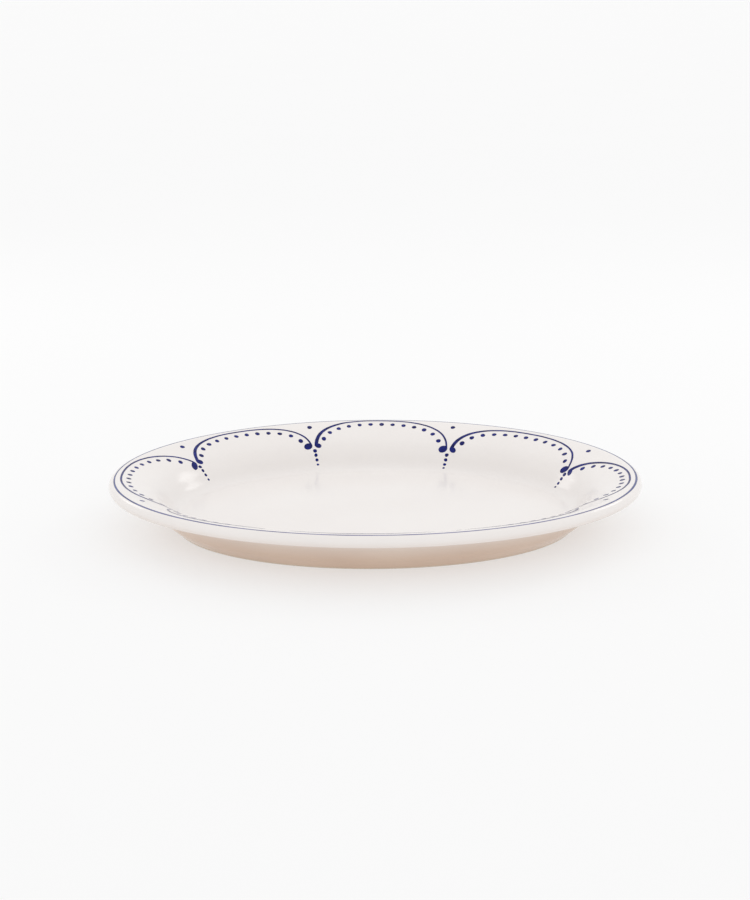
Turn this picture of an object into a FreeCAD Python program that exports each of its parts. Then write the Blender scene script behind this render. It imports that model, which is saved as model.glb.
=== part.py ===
"""Oval china serving platter: fired body, glaze coats and hand-painted cobalt garlands.

Millimetres, +Z up, +X along the platter.  The origin is the middle of the surface that
the foot ring stands on.  Every surface of the platter is an oval swept from one section:
a section point is an inset from the outermost edge of the rim and a height.
"""
import FreeCAD, Part
import math
import os

# Driving dimensions
LENGTH = 408.0            # over the lip, end to end
WIDTH = 310.0             # over the lip, across the middle
HEIGHT = 42.0             # table to the crest of the rim, at the middle of the long sides
RIM_DIP = 1.8             # the rim ends lie this much lower than the long sides
LIP_HEIGHT = 9.4          # thickness of the rolled lip
LIP_DEPTH = 5.0           # inset of the crest of the lip
FLOOR_HEIGHT = 12.2       # table to the top of the well floor
FLOOR_INSET = 57.5        # inset of the floor's edge
WELL_RADIUS = 15.0        # of the round from the floor up to the wall of the well
WELL_SLOPE = 52.0         # of the wall of the well, in degrees
FOOT_INSET = 50.5         # inset of the foot ring's outer edge
FOOT_WIDTH = 5.5          # width of the foot ring
FOOT_RECESS = 5.0         # table to the ceiling of the recess inside the foot ring
FOOT_ROUNDING = 1.1       # of both bare edges of the foot ring
GLAZE_LINE = 1.2          # the glaze stops this far above the table
GLAZE = 0.4               # thickness of the glaze
PAINT = 0.12              # thickness of the cobalt colour, fused on top of the glaze
DIP_REACH = 30.0          # the rim's dip has faded away this far in from the edge

# Painted decoration
LINE_INSET = 4.4          # middle of the rim line, from the outermost edge
LINE_WIDTH = 1.4
ARCH_POWER = 2.2          # 2 is half an ellipse, more is squarer
CUSP_GAP = 1.0            # half the gap between two garlands at their cusp
START_WIDTH = 2.9         # of the stroke where the brush lands
ARCH_WIDTH = 1.5          # of the stroke along the arch
STROKE_SETTLES = 1.3      # turn of the arch, in radians, over which it thins out
START_BLOB_RADIUS = 2.9
END_BLOB_RADIUS = 3.7
DOT_RADIUS = 2.0
DOT_GAP = 9.2             # spacing of the dots under an arch
DOT_ROW_DROP = 6.4        # from the arch in to its row of dots
DOT_ROW_MARGIN = 0.22     # turn of the arch, in radians, left free of dots at each end
PENDANT_DOTS = 4
PENDANT_RADIUS = 1.7      # of the first dot, the others get smaller
PENDANT_DROP = 4.8        # inset from a cusp to its first pendant dot
PENDANT_STEP = 2.7        # inset from one pendant dot to the next
PENDANT_SHRINK = 0.12     # share of that radius lost from one dot to the next
SLOPE_PLAN_SHARE = 0.66   # a round dot on the wall's slope is this narrow in plan
SPACER_INSET = 13.5
SPACER_RADIUS = 2.1
SPACER_LEAN = 3.0         # degrees that a spacer dot is moved round its cusp, at the ends
# The garlands in painting order.  Each has the angle and inset of the cusp it starts from,
# and the inset of the top of its arch, all from the outermost edge.
GARLANDS = (
    (146.4, 32.5, 8.4),
    (106.2, 33.8, 6.2),
    (67.1, 36.5, 9.6),
    (21.4, 35.5, 8.6),
    (-32.0, 36.5, 9.4),
    (-75.0, 35.5, 8.0),
    (-115.0, 36.0, 9.0),
    (-153.0, 35.5, 8.2),
)

# Working values
HALF_LENGTH = LENGTH / 2
HALF_WIDTH = WIDTH / 2
ROUND_POLES = 32          # poles of each oval

Vector = FreeCAD.Vector


def station(inset, height):
    """A section point."""
    return Vector(0, inset, height)


def smooth_curve(points):
    """A smooth curve through the points."""
    curve = Part.BSplineCurve()
    curve.interpolate(Points=points)
    return curve


def smooth_section(stations, first_tangent):
    """A smooth curve through the stations, which sets off along the first tangent."""
    curve = Part.BSplineCurve()
    tangents = [first_tangent] + [Vector()] * (len(stations) - 1)
    flags = [True] + [False] * (len(stations) - 1)
    curve.interpolate(Points=stations, Tangents=tangents, TangentFlags=flags)
    return curve


def straight_section(first, last):
    return Part.LineSegment(first, last).toBSpline()


def section_normal(curve, parameter):
    """Unit normal of a section in the inset-height plane, on the outer side of the body."""
    tangent = curve.tangent(parameter)[0]
    length = math.hypot(tangent.y, tangent.z)
    return Vector(0, tangent.z / length, -tangent.y / length)


def offset_section(curve, distance):
    """The same section moved along its own normal; positive goes out of the body."""
    moved = []
    for knot in curve.getKnots():
        moved.append(curve.value(knot) + section_normal(curve, knot) * distance)
    return smooth_section(moved, curve.tangent(curve.FirstParameter)[0])


def wave_gain(order):
    """Pole scale that puts a uniform cubic spline on a cosine of this order at its knots."""
    return 3.0 / (2.0 + math.cos(order * 2 * math.pi / ROUND_POLES))


def dip_at(inset):
    """Share of the rim's dip that a point follows."""
    return max(0.0, 1.0 - max(inset, 0.0) / DIP_REACH)


CREST_HEIGHT = HEIGHT - RIM_DIP / 2 * dip_at(LIP_DEPTH)


def oval_surface(section):
    """The surface that a section sweeps round the platter."""
    rows = []
    for pole in section.getPoles():
        row = []
        for index in range(ROUND_POLES):
            angle = 2 * math.pi * index / ROUND_POLES
            along = (HALF_LENGTH - pole.y) * wave_gain(1) * math.cos(angle)
            across = (HALF_WIDTH - pole.y) * wave_gain(1) * math.sin(angle)
            dip = RIM_DIP / 2 * dip_at(pole.y) * wave_gain(2) * math.cos(2 * angle)
            row.append(Vector(along, across, pole.z - dip))
        rows.append(row)
    surface = Part.BSplineSurface()
    surface.buildFromPolesMultsKnots(
        rows,
        section.getMultiplicities(),
        [1] * (ROUND_POLES + 1),
        section.getKnots(),
        [float(index) for index in range(ROUND_POLES + 1)],
        False,
        True,
        section.Degree,
        3,
    )
    return surface


def oval_face(section):
    return oval_surface(section).toShape()


def flat_face(section):
    """The flat disc inside the first oval of a section."""
    surface = oval_surface(section)
    edge = surface.uIso(surface.bounds()[0]).toShape()
    return Part.Face(Part.Wire([edge]))


def closed_solid(faces):
    """Faces that meet edge to edge, as one solid."""
    shell = Part.Shell(faces)
    shell.sewShape()
    if shell.ShapeType != "Shell":
        shell = shell.Shells[0]
    solid = Part.Solid(shell)
    if solid.Volume < 0:
        solid.reverse()
    return solid


def main_section():
    """Visible surface from the floor's edge, over the rim and down to the glaze line."""
    stations = []
    for step in range(5):
        turn = math.radians(WELL_SLOPE * step / 4)
        inset = FLOOR_INSET - WELL_RADIUS * math.sin(turn)
        height = FLOOR_HEIGHT + WELL_RADIUS * (1 - math.cos(turn))
        stations.append(station(inset, height))
    stations += [
        station(42.0, 22.7),
        station(38.6, 26.5),
        station(34.4, 30.2),
        station(28.6, 33.7),
        station(20.4, 37.2),
        station(12.4, 39.9),
    ]
    for step in range(7):
        turn = math.radians(30 * step)
        inset = LIP_DEPTH * (1 - math.sin(turn))
        height = CREST_HEIGHT - LIP_HEIGHT / 2 * (1 - math.cos(turn))
        stations.append(station(inset, height))
    stations += [
        station(12.0, 31.2),
        station(20.0, 29.8),
        station(27.0, 26.2),
        station(32.2, 21.0),
        station(36.2, 15.6),
        station(40.4, 10.4),
        station(44.8, 6.2),
        station(48.2, 3.3),
        station(FOOT_INSET, GLAZE_LINE),
    ]
    return smooth_section(stations, Vector(0, -1, 0))


def recess_section():
    """Visible surface inside the foot ring, from the recess ceiling down to the glaze line."""
    inner = FOOT_INSET + FOOT_WIDTH
    stations = [
        station(inner + 3.8, FOOT_RECESS),
        station(inner + 1.2, 3.9),
        station(inner, GLAZE_LINE),
    ]
    return smooth_section(stations, Vector(0, -1, 0))


def foot_faces(clay_main, clay_recess):
    """Bare underside of the foot ring: outer rounding, inner rounding and the flat between."""
    outer = clay_main.value(clay_main.LastParameter)
    inner = clay_recess.value(clay_recess.LastParameter)
    outer_flat = station(outer.y + FOOT_ROUNDING, 0.0)
    inner_flat = station(inner.y - FOOT_ROUNDING, 0.0)
    roundings = []
    for flat, top in ((outer_flat, outer), (inner_flat, inner)):
        towards = top - flat
        belly = flat + Vector(0, towards.y * 0.72, towards.z * 0.34)
        roundings.append(smooth_section([flat, belly, top], Vector(0, towards.y, 0)))
    flat_ring = flat_face(roundings[0]).cut(flat_face(roundings[1])).Faces
    return [oval_face(rounding) for rounding in roundings] + flat_ring


def make_body(main, recess):
    """The fired clay, inside the glaze, with the bare foot ring."""
    clay_main = offset_section(main, -GLAZE)
    clay_recess = offset_section(recess, GLAZE)
    faces = [flat_face(clay_main), oval_face(clay_main)]
    faces += foot_faces(clay_main, clay_recess)
    faces += [oval_face(clay_recess), flat_face(clay_recess)]
    return closed_solid(faces)


def make_glaze(section, thickness):
    """Glaze on a section and on the flat disc inside its first oval, down to the glaze line."""
    under = offset_section(section, thickness)
    edge = straight_section(section.value(section.LastParameter), under.value(under.LastParameter))
    return closed_solid(
        [flat_face(section), oval_face(section), oval_face(edge), oval_face(under), flat_face(under)]
    )


def parameter_at(section, inset):
    """Where the upper side of the section reaches an inset."""
    low = section.FirstParameter
    high = section.parameter(station(LIP_DEPTH, CREST_HEIGHT))
    for _ in range(50):
        middle = (low + high) / 2
        if section.value(middle).y > inset:
            low = middle
        else:
            high = middle
    return (low + high) / 2


def paint_skin(main, outer_inset, inner_inset):
    """A closed band of colour on the glaze, between two insets."""
    under = main.copy()
    over = offset_section(main, PAINT)
    first = parameter_at(main, inner_inset)
    last = main.parameter(station(outer_inset, CREST_HEIGHT))
    under.segment(first, last)
    over.segment(
        over.parameter(under.value(under.FirstParameter) + section_normal(main, first) * PAINT),
        over.parameter(under.value(under.LastParameter) + section_normal(main, last) * PAINT),
    )
    inner_edge = straight_section(under.value(under.FirstParameter), over.value(over.FirstParameter))
    outer_edge = straight_section(under.value(under.LastParameter), over.value(over.LastParameter))
    return closed_solid([oval_face(under), oval_face(over), oval_face(inner_edge), oval_face(outer_edge)])


def oval_point(inset, degrees):
    """Plan position on the oval at an inset."""
    angle = math.radians(degrees)
    return Vector((HALF_LENGTH - inset) * math.cos(angle), (HALF_WIDTH - inset) * math.sin(angle), 0)


def outward(degrees, inset):
    """Plan direction square to the oval at an inset, pointing out."""
    angle = math.radians(degrees)
    direction = Vector(math.cos(angle) / (HALF_LENGTH - inset), math.sin(angle) / (HALF_WIDTH - inset), 0)
    return direction.normalize()


class Garland:
    """One arch between two cusps, painted from its start cusp to its end cusp.

    Its plan is drawn over the chord between the cusps: sideways runs along the chord from
    the chord's middle, and outwards runs square to it, towards the rim.
    """

    def __init__(self, start, end, arch_inset):
        self.middle = (start + end) * 0.5
        self.half_chord = (end - start).Length / 2 - CUSP_GAP
        self.along = (end - start).normalize()
        self.out = Vector(-self.along.y, self.along.x, 0)
        self.rise = self.reach(arch_inset)

    def reach(self, inset):
        """Distance from the chord's middle, straight out, to the oval at an inset."""
        long_axis = HALF_LENGTH - inset
        short_axis = HALF_WIDTH - inset
        square = (self.out.x / long_axis) ** 2 + (self.out.y / short_axis) ** 2
        cross = self.middle.x * self.out.x / long_axis**2 + self.middle.y * self.out.y / short_axis**2
        inside = (self.middle.x / long_axis) ** 2 + (self.middle.y / short_axis) ** 2 - 1
        return (-cross + math.sqrt(cross * cross - square * inside)) / square

    def place(self, sideways, outwards):
        return self.middle + self.along * sideways + self.out * outwards

    def arch(self, turn, drop=0.0):
        """Sideways and outwards of the arch; turn runs from 0 at the start to pi at the end."""
        cosine = math.cos(turn)
        power = 2 / ARCH_POWER
        sideways = -math.copysign(abs(cosine) ** power, cosine) * (self.half_chord - drop)
        outwards = abs(math.sin(turn)) ** power * (self.rise - drop)
        return sideways, outwards

    def stroke_width(self, turn):
        """The brush lands heavily, and the stroke thins out towards the top of the arch."""
        share = min(turn / STROKE_SETTLES, 1.0)
        settled = share * share * (3 - 2 * share)
        return START_WIDTH + (ARCH_WIDTH - START_WIDTH) * settled

    def inner_arch(self):
        """The stroke's inner edge, as sideways and outwards, clear of the two blobs."""
        points = []
        steps = 24
        for step in range(2, steps - 1):
            turn = math.pi * step / steps
            points.append(self.arch(turn, self.stroke_width(turn)))
        return points

    def blob_edge(self, side, radius, width):
        """Plan points round a blob, from the stroke's outer edge to its inner edge.

        Side is -1 at the start and 1 at the end.  The blob is tangent to the outer edge.
        """
        centre = side * (self.half_chord - radius)
        meeting = math.acos((radius - width) / radius)
        steps = 10
        points = []
        for step in range(steps + 1):
            turn = (meeting - 2 * math.pi) * step / steps
            sideways = centre + side * radius * math.cos(turn)
            points.append(self.place(sideways, SLOPE_PLAN_SHARE * radius * math.sin(turn)))
        return points

    def stroke_face(self):
        """Plan outline of the stroke, with the blob at each end."""
        steps = 24
        outer = [self.place(*self.arch(math.pi * step / steps)) for step in range(steps + 1)]
        start_blob = self.blob_edge(-1, START_BLOB_RADIUS, START_WIDTH)
        end_blob = self.blob_edge(1, END_BLOB_RADIUS, ARCH_WIDTH)
        inner = [start_blob[-1]] + [self.place(*point) for point in self.inner_arch()] + [end_blob[-1]]
        edges = [
            smooth_curve(outer).toShape(),
            smooth_curve(end_blob).toShape(),
            smooth_curve(inner).toShape(),
            smooth_curve(start_blob).toShape(),
        ]
        return Part.Face(Part.Wire(edges))

    def dot_places(self):
        """Plan positions of the dots under the arch, evenly spaced along it."""
        steps = 24
        span = math.pi - 2 * DOT_ROW_MARGIN
        turns = [DOT_ROW_MARGIN + span * step / steps for step in range(steps + 1)]
        path = smooth_curve([self.place(*self.arch(turn, DOT_ROW_DROP)) for turn in turns])
        count = round(path.length() / DOT_GAP) + 1
        places = []
        for index in range(count):
            parameter = path.parameterAtDistance(path.length() * index / (count - 1), path.FirstParameter)
            places.append(path.value(parameter))
        return places


def disc(centre, radius):
    return Part.Face(Part.Wire([Part.makeCircle(radius, centre)]))


def painted(prisms, skin):
    """The colour that upright prisms cut out of the skin, one patch to a prism."""
    patches = []
    for prism in prisms:
        patches += skin.common(prism).Solids
    return Part.makeCompound(patches)


def upright(face):
    return face.extrude(Vector(0, 0, HEIGHT + 5))


def make_pendant(cusp_angle, cusp_inset, skin):
    """Dots that get smaller down the wall of the well, below a cusp."""
    dots = []
    for index in range(PENDANT_DOTS):
        inset = cusp_inset + PENDANT_DROP + PENDANT_STEP * index
        radius = PENDANT_RADIUS * (1 - PENDANT_SHRINK * index)
        out = outward(cusp_angle, inset)
        centre = oval_point(inset, cusp_angle)
        wide = Vector(-out.y, out.x, 0)
        ellipse = Part.Ellipse(centre + wide * radius, centre + out * radius * SLOPE_PLAN_SHARE, centre)
        dots.append(upright(Part.Face(Part.Wire([ellipse.toShape()]))))
    return painted(dots, skin)


def write(name, shape):
    shape.exportStep(os.path.join("parts", name + ".step"))
    print(name, "solids", len(shape.Solids), "valid", shape.isValid(), "volume", round(shape.Volume, 2))


def main():
    os.makedirs("parts", exist_ok=True)
    section = main_section()
    recess = recess_section()
    write("platter_body", make_body(section, recess))
    write("glaze_coat", make_glaze(section, -GLAZE))
    write("foot_recess_glaze", make_glaze(recess, GLAZE))
    write("rim_line", paint_skin(section, LINE_INSET - LINE_WIDTH / 2, LINE_INSET + LINE_WIDTH / 2))

    skin = paint_skin(section, LINE_INSET + LINE_WIDTH, FLOOR_INSET - 1)
    spacers = []
    for index, (angle, inset, arch_inset) in enumerate(GARLANDS):
        next_angle, next_inset, _ = GARLANDS[(index + 1) % len(GARLANDS)]
        garland = Garland(oval_point(inset, angle), oval_point(next_inset, next_angle), arch_inset)
        number = str(index + 1)
        write("garland_stroke_" + number, painted([upright(garland.stroke_face())], skin))
        dots = [upright(disc(place, DOT_RADIUS)) for place in garland.dot_places()]
        write("garland_dots_" + number, painted(dots, skin))
        write("pendant_dots_" + number, make_pendant(angle, inset, skin))
        spacer_angle = angle + SPACER_LEAN * math.cos(math.radians(angle))
        spacers.append(upright(disc(oval_point(SPACER_INSET, spacer_angle), SPACER_RADIUS)))
    write("spacer_dots", painted(spacers, skin))


main()
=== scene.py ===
"""Looks of the oval china platter: glossy warm glaze, bare foot ring and hand-painted cobalt.

Metres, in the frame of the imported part.  Every surface of the platter is an oval swept from
one section: a section point is an inset from the outermost edge of the rim and a height.
"""
import math
import random

import bmesh
import bpy
import numpy as np
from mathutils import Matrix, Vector, noise


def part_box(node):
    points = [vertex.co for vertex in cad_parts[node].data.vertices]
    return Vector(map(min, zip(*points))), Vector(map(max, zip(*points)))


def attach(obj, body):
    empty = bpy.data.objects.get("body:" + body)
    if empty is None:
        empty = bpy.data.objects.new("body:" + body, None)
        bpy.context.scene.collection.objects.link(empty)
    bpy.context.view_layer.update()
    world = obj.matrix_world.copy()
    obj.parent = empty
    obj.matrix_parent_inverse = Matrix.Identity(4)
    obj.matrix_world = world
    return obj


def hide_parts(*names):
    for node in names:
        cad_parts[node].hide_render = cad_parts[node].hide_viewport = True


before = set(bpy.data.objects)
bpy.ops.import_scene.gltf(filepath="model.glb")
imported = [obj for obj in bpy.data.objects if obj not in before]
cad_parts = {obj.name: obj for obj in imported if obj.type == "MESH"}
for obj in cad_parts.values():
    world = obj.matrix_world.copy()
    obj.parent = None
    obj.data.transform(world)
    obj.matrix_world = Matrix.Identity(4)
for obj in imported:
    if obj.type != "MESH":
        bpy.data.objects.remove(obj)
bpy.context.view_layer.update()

MM = 0.001

# ---------------------------------------------------------------- driving sizes
GLAZE_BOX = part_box("glaze_coat")
LINE_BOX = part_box("rim_line")
HALF_LENGTH = GLAZE_BOX[1][0]
HALF_WIDTH = GLAZE_BOX[1][1]
RIM_TOP = GLAZE_BOX[1][2]
GLAZE_LINE = GLAZE_BOX[0][2]
LINE_MIDDLE = (LINE_BOX[0][2] + LINE_BOX[1][2]) / 2

RIM_DIP = 1.8 * MM          # the rim ends lie this much lower than the long sides
DIP_REACH = 30 * MM         # the dip has faded away this far in from the edge
LIP_HEIGHT = 9.4 * MM
LIP_DEPTH = 5.0 * MM
FLOOR_HEIGHT = 12.2 * MM
FLOOR_INSET = 57.5 * MM
WELL_RADIUS = 15.0 * MM
WELL_SLOPE = 52
FOOT_INSET = 50.5 * MM
FOOT_WIDTH = 5.5 * MM
FOOT_RECESS = 5.0 * MM
FOOT_ROUNDING = 1.1 * MM
GLAZE = 0.4 * MM
GLAZE_BED = 0.36 * MM       # the glaze's under side stays this close, just clear of the clay
PAINT = 0.115 * MM          # a little under the CAD thickness, so the colour stays in its box
PAINT_BED = 0.02 * MM       # the colour's under side stays just clear of the glaze
LINE_INSET = 4.4 * MM
LINE_WIDTH = 1.4 * MM

ROUND_STEPS = 256
SECTION_STEP = 0.8 * MM
DISC_RING_STEP = 12 * MM
LINE_STEPS = 720
DOT_STEPS = 22
WELD = 1e-7
CAD_WELD = 1e-6
INSET_HALVINGS = 40
BODY = "root"
SEED = 7

random.seed(SEED)
noise.seed_set(SEED)         # otherwise the noise starts from the clock


# ---------------------------------------------------------------- section
def dip_at(inset):
    """Share of the rim's dip that a point follows."""
    return np.clip(1 - np.maximum(inset, 0) / DIP_REACH, 0, 1)


def smooth(stations, step):
    """A natural cubic spline through the stations, resampled at even steps."""
    points = np.array(stations, dtype=float)
    chords = np.hypot(*np.diff(points, axis=0).T)
    along = np.concatenate([[0], np.cumsum(chords)])
    count = len(points)
    system = np.eye(count)
    bends = np.zeros((count, 2))
    for index in range(1, count - 1):
        before = chords[index - 1]
        after = chords[index]
        system[index, index - 1:index + 2] = before, 2 * (before + after), after
        slope_after = (points[index + 1] - points[index]) / after
        slope_before = (points[index] - points[index - 1]) / before
        bends[index] = 6 * (slope_after - slope_before)
    bends = np.linalg.solve(system, bends)
    places = np.linspace(0, along[-1], max(round(along[-1] / step), 2) + 1)
    spans = np.clip(np.searchsorted(along, places, side="right") - 1, 0, count - 2)
    length = chords[spans][:, None]
    share = (places - along[spans])[:, None] / length
    rest = 1 - share
    return (
        rest * points[spans]
        + share * points[spans + 1]
        + length**2 / 6 * ((rest**3 - rest) * bends[spans] + (share**3 - share) * bends[spans + 1])
    )


def moved(section, distance):
    """The same section moved along its own normal; positive goes out of the body."""
    tangent = np.gradient(section, axis=0)
    tangent /= np.linalg.norm(tangent, axis=1)[:, None]
    normal = np.stack([tangent[:, 1], -tangent[:, 0]], axis=1)
    return section + normal * distance


def main_section():
    """From the floor's edge, up the well, over the rim and down to the glaze line."""
    stations = []
    well_steps = 4
    for step in range(well_steps + 1):
        turn = math.radians(WELL_SLOPE * step / well_steps)
        inset = FLOOR_INSET - WELL_RADIUS * math.sin(turn)
        stations.append((inset, FLOOR_HEIGHT + WELL_RADIUS * (1 - math.cos(turn))))
    flange = ((42.0, 22.7), (38.6, 26.5), (34.4, 30.2), (28.6, 33.7), (20.4, 37.2), (12.4, 39.9))
    stations += [(inset * MM, height * MM) for inset, height in flange]
    crest = RIM_TOP - RIM_DIP / 2 * float(dip_at(LIP_DEPTH))
    lip_steps = 6
    for step in range(lip_steps + 1):
        turn = math.pi * step / lip_steps
        inset = LIP_DEPTH * (1 - math.sin(turn))
        stations.append((inset, crest - LIP_HEIGHT / 2 * (1 - math.cos(turn))))
    outside = (
        (12.0, 31.2), (20.0, 29.8), (27.0, 26.2), (32.2, 21.0),
        (36.2, 15.6), (40.4, 10.4), (44.8, 6.2), (48.2, 3.3),
    )
    stations += [(inset * MM, height * MM) for inset, height in outside]
    stations.append((FOOT_INSET, GLAZE_LINE))
    section = smooth(stations, SECTION_STEP)
    section[:, 0] = np.maximum(section[:, 0], 0)
    return section


def recess_section():
    """Inside the foot ring, from the recess ceiling down to the glaze line."""
    inner = FOOT_INSET + FOOT_WIDTH
    stations = [
        (inner + 3.8 * MM, FOOT_RECESS),
        (inner + 1.2 * MM, 3.9 * MM),
        (inner, GLAZE_LINE),
    ]
    return smooth(stations, SECTION_STEP)


def disc_rings(edge):
    """Section points of a flat disc, from the middle of the platter out to its edge point."""
    insets = np.arange(HALF_WIDTH, edge[0] + DISC_RING_STEP / 2, -DISC_RING_STEP)
    return np.stack([insets, np.full(len(insets), edge[1])], axis=1)


def foot_rounding(side, inward):
    """The bare rounding of the foot ring, from its side down to the table."""
    turns = np.radians(np.arange(15, 91, 15))
    insets = side[0] + inward * FOOT_ROUNDING * (1 - np.cos(turns))
    return np.stack([insets, side[1] * (1 - np.sin(turns))], axis=1)


# ---------------------------------------------------------------- meshes
def oval_rings(profile, angles):
    """Points of the ovals that a profile sweeps round the platter."""
    inset = profile[:, 0][:, None]
    x = (HALF_LENGTH - inset) * np.cos(angles)
    y = (HALF_WIDTH - inset) * np.sin(angles)
    z = profile[:, 1][:, None] - RIM_DIP / 2 * dip_at(inset) * np.cos(2 * angles)
    return np.stack([x, y, z], axis=2)


def strip_faces(rings, across, closed_rings):
    """Quads between neighbouring rings of points."""
    faces = []
    last = rings if closed_rings else rings - 1
    for ring in range(last):
        following = (ring + 1) % rings
        for index in range(across):
            after = (index + 1) % across
            faces.append(
                (ring * across + index, following * across + index,
                 following * across + after, ring * across + after)
            )
    return faces


def add_piece(name, points, faces, material, replaced, sharp=None):
    """A closed mesh that takes the place of CAD nodes."""
    mesh = bpy.data.meshes.new(name)
    mesh.from_pydata([tuple(point) for point in points], [], faces)
    work = bmesh.new()
    work.from_mesh(mesh)
    bmesh.ops.remove_doubles(work, verts=work.verts, dist=WELD)
    bmesh.ops.dissolve_degenerate(work, edges=work.edges, dist=1e-8)
    bmesh.ops.recalc_face_normals(work, faces=work.faces)
    for face in work.faces:
        face.smooth = True
    work.to_mesh(mesh)
    work.free()
    if sharp is not None:
        mesh.set_sharp_from_angle(angle=math.radians(sharp))
    mesh.materials.append(material)
    piece = bpy.data.objects.new(name, mesh)
    bpy.context.collection.objects.link(piece)
    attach(piece, BODY)
    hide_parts(replaced)


def sweep(name, profile, material, replaced):
    """A closed body swept from a profile that starts and ends in the middle."""
    angles = np.linspace(0, 2 * np.pi, ROUND_STEPS, endpoint=False)
    rings = oval_rings(profile, angles)
    faces = strip_faces(len(profile), ROUND_STEPS, False)
    add_piece(name, rings.reshape(-1, 3), faces, material, replaced, sharp=40)


# ---------------------------------------------------------------- surface under the colour
MAIN = main_section()
UPPER = MAIN[:np.argmin(MAIN[:, 0]) + 1][::-1]


def inset_at(x, y):
    """Inset of the oval through a plan position."""
    low = np.zeros_like(x)
    high = np.full_like(x, HALF_WIDTH * 0.999)
    for _ in range(INSET_HALVINGS):
        middle = (low + high) / 2
        inside = (x / (HALF_LENGTH - middle)) ** 2 + (y / (HALF_WIDTH - middle)) ** 2 < 1
        low = np.where(inside, middle, low)
        high = np.where(inside, high, middle)
    return (low + high) / 2


def height_at(x, y):
    """Height of the glaze at a plan position."""
    inset = inset_at(x, y)
    angle = np.arctan2(y / (HALF_WIDTH - inset), x / (HALF_LENGTH - inset))
    return np.interp(inset, UPPER[:, 0], UPPER[:, 1]) - RIM_DIP / 2 * dip_at(inset) * np.cos(2 * angle)


def lifted(x, y, rise):
    """Points that stand off the glaze, square to it, over plan positions."""
    reach = 0.1 * MM
    slope_x = (height_at(x + reach, y) - height_at(x - reach, y)) / (2 * reach)
    slope_y = (height_at(x, y + reach) - height_at(x, y - reach)) / (2 * reach)
    normal = np.stack([-slope_x, -slope_y, np.ones_like(x)], axis=-1)
    normal /= np.linalg.norm(normal, axis=-1)[..., None]
    return np.stack([x, y, height_at(x, y)], axis=-1) + normal * rise[..., None]


def outward_at(x, y):
    """Plan direction square to the oval, pointing out."""
    inset = inset_at(x, y)
    direction = np.array([x / (HALF_LENGTH - inset) ** 2, y / (HALF_WIDTH - inset) ** 2])
    return direction / np.linalg.norm(direction)


# ---------------------------------------------------------------- colour
def cad_mesh(node):
    """A welded copy of a CAD node's mesh, in the frame of the part."""
    work = bmesh.new()
    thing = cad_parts[node]
    work.from_mesh(thing.data)
    work.transform(thing.matrix_world)
    bmesh.ops.remove_doubles(work, verts=work.verts, dist=CAD_WELD)
    return work


def cad_islands(node):
    """The separate patches of a CAD node, each as an array of its points."""
    work = cad_mesh(node)
    unseen = set(work.verts)
    islands = []
    while unseen:
        front = [unseen.pop()]
        island = []
        while front:
            vertex = front.pop()
            island.append(tuple(vertex.co))
            for edge in vertex.link_edges:
                other = edge.other_vert(vertex)
                if other in unseen:
                    unseen.remove(other)
                    front.append(other)
        islands.append(np.array(island))
    work.free()
    islands.sort(key=lambda island: tuple(np.round(island.mean(axis=0), 5)))
    return islands


def dome_height(share):
    """Height of a brush mark's top, from its middle at 0 to its edge at 1."""
    return PAINT_BED + (PAINT - PAINT_BED) * math.sqrt(1 - share**4)


def domed_rings(centre, axes, swell):
    """A domed patch with one point array per ring: under side from the middle out, then back."""
    angles = np.linspace(0, 2 * np.pi, len(swell), endpoint=False)
    wheel = np.cos(angles)[:, None] * axes[0] + np.sin(angles)[:, None] * axes[1]
    shares = (0.3, 0.6, 0.8, 0.93, 1.0)
    places = [(share, PAINT_BED) for share in shares[:-1]]
    places += [(share, dome_height(share)) for share in reversed(shares)]
    rings = []
    for share, rise in places:
        plan = centre + share * swell[:, None] * wheel
        rings.append(lifted(plan[:, 0], plan[:, 1], np.full(len(plan), rise)))
    return np.array(rings)


def brush_dot(island):
    """A brush dot, a little irregular, over one CAD patch."""
    centre = (island[:, :2].min(axis=0) + island[:, :2].max(axis=0)) / 2
    out = outward_at(centre[0], centre[1])
    wide = np.array([-out[1], out[0]])
    offsets = island[:, :2] - centre
    axes = (
        wide * np.abs(offsets @ wide).max() * random.uniform(0.98, 1.12),
        out * np.abs(offsets @ out).max() * random.uniform(0.98, 1.14),
    )
    angles = np.linspace(0, 2 * np.pi, DOT_STEPS, endpoint=False)
    swell = 1 + random.uniform(0.01, 0.07) * np.cos(2 * angles + random.uniform(0, 6))
    swell += random.uniform(0.01, 0.05) * np.cos(3 * angles + random.uniform(0, 6))
    return domed_rings(centre, axes, swell / swell.max())


def add_dots(node, material):
    """All the brush dots of one CAD node, as one piece."""
    points = []
    faces = []
    for island in cad_islands(node):
        rings = brush_dot(island)
        ring_count, segments = rings.shape[:2]
        first = len(points)
        points += list(rings.reshape(-1, 3))
        patch = strip_faces(ring_count, segments, False)
        patch.append(tuple(range(segments)))
        patch.append(tuple(range((ring_count - 1) * segments, ring_count * segments)))
        faces += [tuple(first + corner for corner in face) for face in patch]
    add_piece("brushed_" + node, points, faces, material, node)


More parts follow.
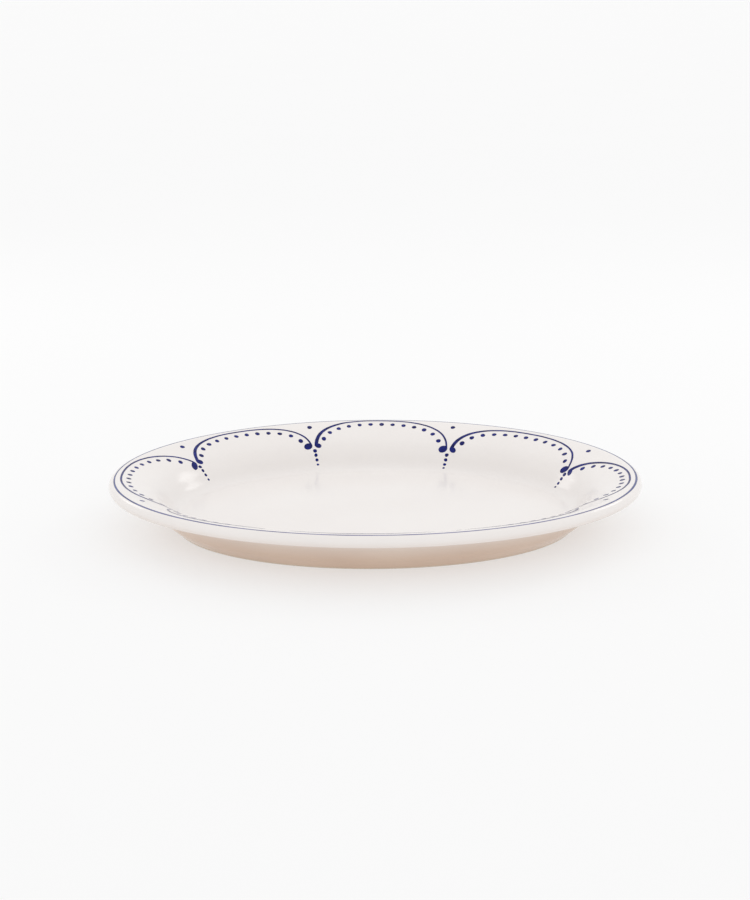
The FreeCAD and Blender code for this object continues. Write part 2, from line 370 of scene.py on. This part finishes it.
def add_rim_line(material):
    """The banding line round the rim, with the slow swelling of a hand-held brush."""
    columns = np.linspace(-1, 1, 7)
    around = [(column, dome_height(column)) for column in columns]
    around += [(column, PAINT_BED) for column in columns[-2:0:-1]]
    angles = np.linspace(0, 2 * np.pi, LINE_STEPS, endpoint=False)
    sway = np.zeros(LINE_STEPS)
    swell = np.ones(LINE_STEPS)
    for order in (3, 5, 9, 16, 27):
        sway += 0.05 * MM / order**0.5 * np.cos(order * angles + random.uniform(0, 6))
        swell += 0.16 / order**0.5 * np.cos(order * angles + random.uniform(0, 6))
    swell = np.clip(swell, 0.6, 1.3)
    rings = []
    for column, rise in around:
        inset = LINE_INSET + sway + column * LINE_WIDTH / 2 * swell
        x = (HALF_LENGTH - inset) * np.cos(angles)
        y = (HALF_WIDTH - inset) * np.sin(angles)
        rings.append(lifted(x, y, np.full(LINE_STEPS, rise)))
    rings = np.array(rings)
    faces = strip_faces(len(around), LINE_STEPS, True)
    add_piece("brushed_rim_line", rings.reshape(-1, 3), faces, material, "rim_line")


def add_stroke(node, material):
    """A garland stroke over its CAD patch, with the slight sway of a hand-held brush."""
    sway = 0.16 * MM
    wave = 5 * MM
    work = cad_mesh(node)
    work.verts.index_update()
    flat = np.array([tuple(vertex.co) for vertex in work.verts])
    above = flat[:, 2] - height_at(flat[:, 0], flat[:, 1])
    rise = np.where(above > PAINT / 2, PAINT, PAINT_BED)
    plan = flat[:, :2].copy()
    for index, (x, y) in enumerate(flat[:, :2]):
        drift = noise.noise_vector(Vector((x, y, 0)) / wave)
        plan[index] += np.array(drift[:2]) * sway
    points = lifted(plan[:, 0], plan[:, 1], rise)
    faces = [tuple(vertex.index for vertex in face.verts) for face in work.faces]
    work.free()
    add_piece("brushed_" + node, points, faces, material, node, sharp=40)


# ---------------------------------------------------------------- materials
GLAZE_INDEX = 1.5
FLOOR_GLOW = 0.52


class Recipe:
    """A material's node tree, with short names for the nodes this scene uses."""

    def __init__(self, name, roughness):
        self.material = bpy.data.materials.new(name)
        self.material.use_nodes = True
        self.tree = self.material.node_tree
        self.shader = self.tree.nodes["Principled BSDF"]
        self.shader.inputs["Roughness"].default_value = roughness
        self.shader.inputs["IOR"].default_value = GLAZE_INDEX
        self.place = self.tree.nodes.new("ShaderNodeTexCoord").outputs["Object"]

    def join(self, output, target):
        self.tree.links.new(output, target)

    def noise(self, scale, detail):
        node = self.tree.nodes.new("ShaderNodeTexNoise")
        node.inputs["Scale"].default_value = scale
        node.inputs["Detail"].default_value = detail
        self.join(self.place, node.inputs["Vector"])
        return node.outputs["Fac"]

    def ramp(self, value, stops):
        node = self.tree.nodes.new("ShaderNodeValToRGB")
        self.join(value, node.inputs["Fac"])
        for element, (position, colour) in zip(node.color_ramp.elements, stops):
            element.position = position
            element.color = (*colour, 1)
        return node.outputs["Color"]

    def share(self, value, low, high):
        """0 at low, 1 at high, smooth in between."""
        node = self.tree.nodes.new("ShaderNodeMapRange")
        node.interpolation_type = "SMOOTHSTEP"
        self.join(value, node.inputs["Value"])
        node.inputs["From Min"].default_value = low
        node.inputs["From Max"].default_value = high
        return node.outputs["Result"]

    def product(self, first, second):
        node = self.tree.nodes.new("ShaderNodeMath")
        node.operation = "MULTIPLY"
        self.join(first, node.inputs[0])
        self.join(second, node.inputs[1])
        return node.outputs["Value"]

    def axis(self, vector, name):
        node = self.tree.nodes.new("ShaderNodeSeparateXYZ")
        self.join(vector, node.inputs["Vector"])
        return node.outputs[name]

    def normal(self):
        return self.tree.nodes.new("ShaderNodeNewGeometry").outputs["Normal"]

    def mix(self, share, first, second):
        node = self.tree.nodes.new("ShaderNodeMix")
        node.data_type = "RGBA"
        self.join(share, node.inputs["Factor"])
        self.join(first, node.inputs["A"])
        self.join(second, node.inputs["B"])
        return node.outputs["Result"]

    def colour(self, output):
        self.join(output, self.shader.inputs["Base Color"])

    def bump(self, scale, detail, height):
        node = self.tree.nodes.new("ShaderNodeBump")
        node.inputs["Distance"].default_value = height
        self.join(self.noise(scale, detail), node.inputs["Height"])
        self.join(node.outputs["Normal"], self.shader.inputs["Normal"])


def make_glaze(name, painted_shade_light, painted_shade_deep):
    """Warm white glaze with painted shade: downward faces near the foot drift to a darker, warmer low
    colour.
    """
    recipe = Recipe(name, 0.16)
    clouds = recipe.noise(14, 3)
    fresh = recipe.ramp(clouds, ((0.3, (0.862, 0.820, 0.795)), (0.7, (0.884, 0.846, 0.822))))
    # painted shade: the low colour stands in for the shade under the rim, on faces that look down near
    # the foot
    low = recipe.ramp(clouds, ((0.3, painted_shade_deep), (0.7, painted_shade_light)))
    facing_down = recipe.share(recipe.axis(recipe.normal(), "Z"), 0.40, -0.55)
    near_foot = recipe.share(recipe.axis(recipe.place, "Z"), 46 * MM, 2 * MM)
    recipe.colour(recipe.mix(recipe.product(facing_down, near_foot), fresh, low))
    recipe.bump(700, 2, 0.002 * MM)
    return recipe.material


def make_clay():
    """Unglazed clay with a fine matt grain."""
    recipe = Recipe("bare_clay", 0.8)
    grain = recipe.noise(1500, 4)
    recipe.colour(recipe.ramp(grain, ((0.3, (0.56, 0.46, 0.36)), (0.7, (0.72, 0.63, 0.53)))))
    recipe.bump(2500, 3, 0.05 * MM)
    return recipe.material


def make_cobalt():
    """Deep blue, darker where the colour pooled."""
    recipe = Recipe("deep_cobalt", 0.12)
    recipe.shader.inputs["Specular IOR Level"].default_value = 0.2
    pooling = recipe.noise(170, 3)
    recipe.colour(recipe.ramp(pooling, ((0.35, (0.001, 0.003, 0.080)), (0.68, (0.005, 0.014, 0.200)))))
    recipe.bump(900, 2, 0.01 * MM)
    return recipe.material


def make_cobalt_wash():
    """The rim line's thinner colour, paler along the near side."""
    recipe = Recipe("cobalt_wash", 0.10)
    pooling = recipe.noise(90, 3)
    full_wash = recipe.ramp(pooling, ((0.30, (0.006, 0.016, 0.130)), (0.70, (0.030, 0.060, 0.270))))
    pale_wash = recipe.ramp(pooling, ((0.30, (0.130, 0.130, 0.270)), (0.70, (0.280, 0.275, 0.430))))
    # the line's colour turns pale along the near side, towards negative Y
    near_side = recipe.share(recipe.axis(recipe.place, "Y"), -0.04, -0.13)
    recipe.colour(recipe.mix(near_side, full_wash, pale_wash))
    recipe.bump(900, 2, 0.01 * MM)
    return recipe.material


def make_light_table():
    """Pale floor that glows a little, so that shadows on it stay soft."""
    recipe = Recipe("light_table", 0.9)
    recipe.shader.inputs["Specular IOR Level"].default_value = 0.1
    recipe.shader.inputs["Emission Color"].default_value = (1, 1, 1, 1)
    recipe.shader.inputs["Emission Strength"].default_value = FLOOR_GLOW
    patches = recipe.noise(3, 2)
    recipe.colour(recipe.ramp(patches, ((0.2, (0.430, 0.430, 0.430)), (0.8, (0.434, 0.434, 0.434)))))
    return recipe.material


# the last two colours of each glaze are its painted shade: a dark tan on the outer wall, only a faint
# warm tint in the foot recess
glaze = make_glaze("warm_white_glaze", (0.650, 0.480, 0.360), (0.600, 0.425, 0.310))
recess_glaze = make_glaze("recess_glaze", (0.860, 0.800, 0.740), (0.835, 0.770, 0.705))
clay = make_clay()
cobalt = make_cobalt()
cobalt_wash = make_cobalt_wash()

# ---------------------------------------------------------------- platter
RECESS = recess_section()
CLAY_MAIN = moved(MAIN, -GLAZE)
CLAY_RECESS = moved(RECESS, GLAZE)


def coat(face, bed):
    """The profile of a thin coat: along its face, then back along its bed."""
    return np.concatenate([disc_rings(face[0]), face, bed[::-1], disc_rings(bed[0])[::-1]])


sweep("glaze_skin", coat(MAIN, moved(MAIN, -GLAZE_BED)), glaze, "glaze_coat")
sweep(
    "recess_glaze_skin", coat(RECESS, moved(RECESS, GLAZE_BED)),
    recess_glaze, "foot_recess_glaze",
)
sweep(
    "fired_clay",
    np.concatenate(
        [
            disc_rings(CLAY_MAIN[0]),
            CLAY_MAIN,
            foot_rounding(CLAY_MAIN[-1], 1),
            foot_rounding(CLAY_RECESS[-1], -1)[::-1],
            CLAY_RECESS[::-1],
            disc_rings(CLAY_RECESS[0])[::-1],
        ]
    ),
    clay, "platter_body",
)
add_rim_line(cobalt_wash)
for node in sorted(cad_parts):
    if node.startswith("garland_stroke_"):
        add_stroke(node, cobalt)
    elif "_dots" in node:
        add_dots(node, cobalt)

# ---------------------------------------------------------------- studio
FLOOR_REACH = 40
HORIZON_SHADE = 0.93
TENT_STRENGTH = 0.99
SOFTBOX_LENGTH = 0.42
SOFTBOX_HEIGHT = 0.32

floor_mesh = bpy.data.meshes.new("studio_floor")
floor_mesh.from_pydata(
    [
        (-FLOOR_REACH, -FLOOR_REACH, 0),
        (FLOOR_REACH, -FLOOR_REACH, 0),
        (FLOOR_REACH, FLOOR_REACH, 0),
        (-FLOOR_REACH, FLOOR_REACH, 0),
    ],
    [], [(0, 1, 2, 3)],
)
floor = bpy.data.objects.new("studio_floor", floor_mesh)
bpy.context.collection.objects.link(floor)
floor_mesh.materials.append(make_light_table())

world = bpy.data.worlds.new("studio_tent")
bpy.context.scene.world = world
world.use_nodes = True
tent = world.node_tree
height = tent.nodes.new("ShaderNodeSeparateXYZ")
tent.links.new(tent.nodes.new("ShaderNodeTexCoord").outputs["Generated"], height.inputs["Vector"])
shade = tent.nodes.new("ShaderNodeValToRGB")
shade.color_ramp.interpolation = "EASE"
shade.color_ramp.elements[0].color = (HORIZON_SHADE, HORIZON_SHADE, HORIZON_SHADE, 1)
shade.color_ramp.elements[1].color = (1, 1, 1, 1)
tent.links.new(height.outputs["Z"], shade.inputs["Fac"])
backdrop = tent.nodes["Background"]
backdrop.inputs["Strength"].default_value = TENT_STRENGTH
tent.links.new(shade.outputs["Color"], backdrop.inputs["Color"])


def add_softbox(name, power, place):
    """A softbox behind the platter, which shows up as a soft patch in the well's far wall."""
    light = bpy.data.lights.new(name, "AREA")
    light.energy = power
    light.shape = "RECTANGLE"
    light.size = SOFTBOX_LENGTH
    light.size_y = SOFTBOX_HEIGHT
    lamp = bpy.data.objects.new(name, light)
    bpy.context.collection.objects.link(lamp)
    lamp.location = place
    lamp.rotation_euler = (-Vector(place)).to_track_quat("-Z", "Y").to_euler()


add_softbox("right_softbox", 0.9, (0.95, 0.69, 0.83))
add_softbox("left_softbox", 0.7, (-0.89, 0.83, 0.73))

# ---------------------------------------------------------------- camera
CAMERA_DISTANCE = 1.300
CAMERA_ELEVATION = math.radians(16.9)
CAMERA_AZIMUTH = math.radians(-2.4)
SENSOR = 36                 # millimetres, along the long side of the frame
FOCAL_SHARE = 1.8794        # focal length over the long side of the frame
SHIFT = (-0.0011, 0.0247)   # places the platter in the frame
VIEW_LIMIT = 200            # metres, past the far edge of the floor
camera_data = bpy.data.cameras.new("camera")
camera_data.sensor_width = SENSOR
camera_data.lens = SENSOR * FOCAL_SHARE
camera_data.shift_x, camera_data.shift_y = SHIFT
camera_data.clip_end = VIEW_LIMIT
camera = bpy.data.objects.new("camera", camera_data)
bpy.context.collection.objects.link(camera)
back = Vector(
    (
        math.sin(CAMERA_AZIMUTH) * math.cos(CAMERA_ELEVATION),
        -math.cos(CAMERA_AZIMUTH) * math.cos(CAMERA_ELEVATION),
        math.sin(CAMERA_ELEVATION),
    )
)
camera.location = Vector((0, 0, LINE_MIDDLE)) + back * CAMERA_DISTANCE
camera.rotation_euler = (-back).to_track_quat("-Z", "Y").to_euler()
bpy.context.scene.camera = camera
bpy.context.scene.view_settings.view_transform = "Standard"
